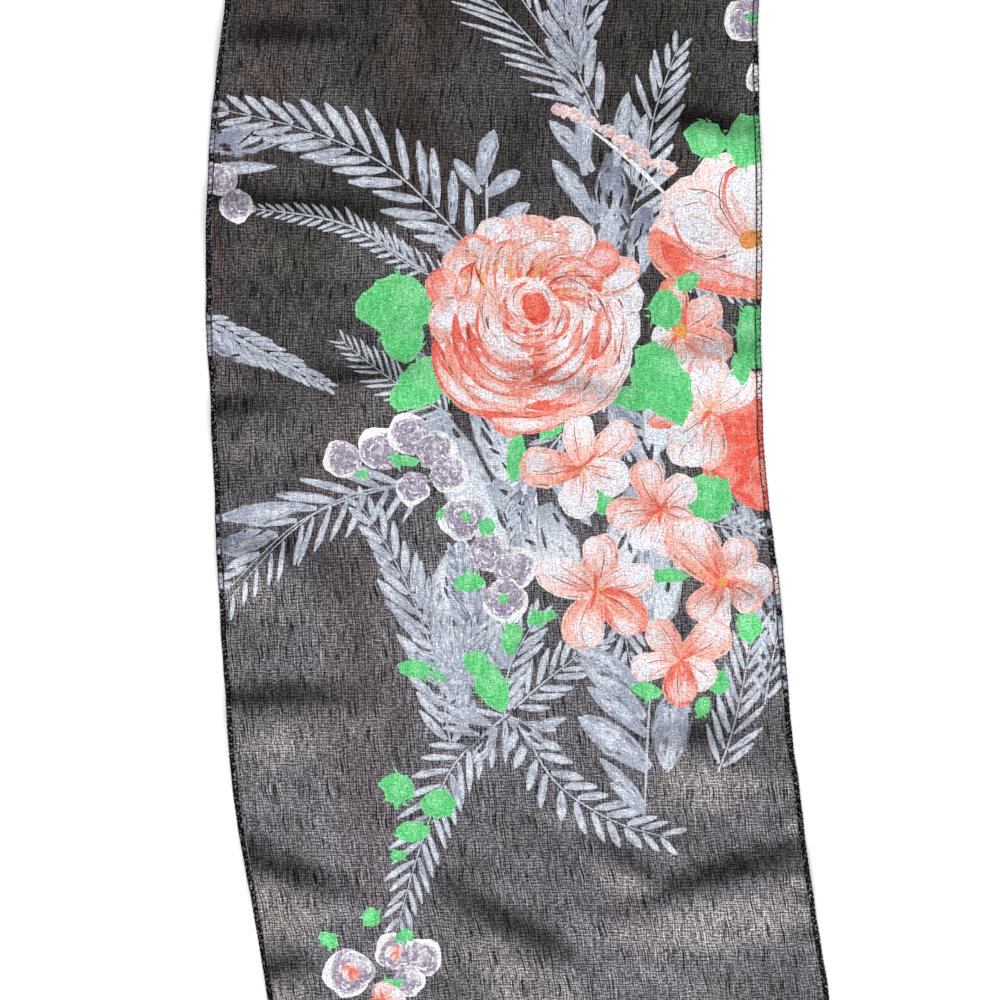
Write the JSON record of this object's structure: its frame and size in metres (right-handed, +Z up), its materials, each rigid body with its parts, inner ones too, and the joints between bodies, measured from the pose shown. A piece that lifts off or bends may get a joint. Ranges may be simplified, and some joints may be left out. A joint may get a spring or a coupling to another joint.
{
  "type": "chiffon scarf",
  "caption": "Long narrow sheer chiffon scarf laid flat and softly rumpled, dark ground with a printed spray of flowers and ferns, rolled hems on all edges",
  "frame": {"origin": "on the table, under the middle of the scarf's bounding box", "axes": "+X across the scarf, +Y along its length, +Z up from the table"},
  "size_m": [0.2974, 1.5, 0.007],
  "materials": {
    "printed_chiffon": "sheer crinkled chiffon, charcoal ground with coral, green and pale grey print, low sheen",
    "hem_thread": "black overlock thread round a narrow rolled edge"
  },
  "bodies": {
    "root": {"cloth_panel": "printed_chiffon", "hem_left": "hem_thread", "hem_right": "hem_thread", "hem_end_near": "hem_thread", "hem_end_far": "hem_thread"}
  },
  "joints": []
}
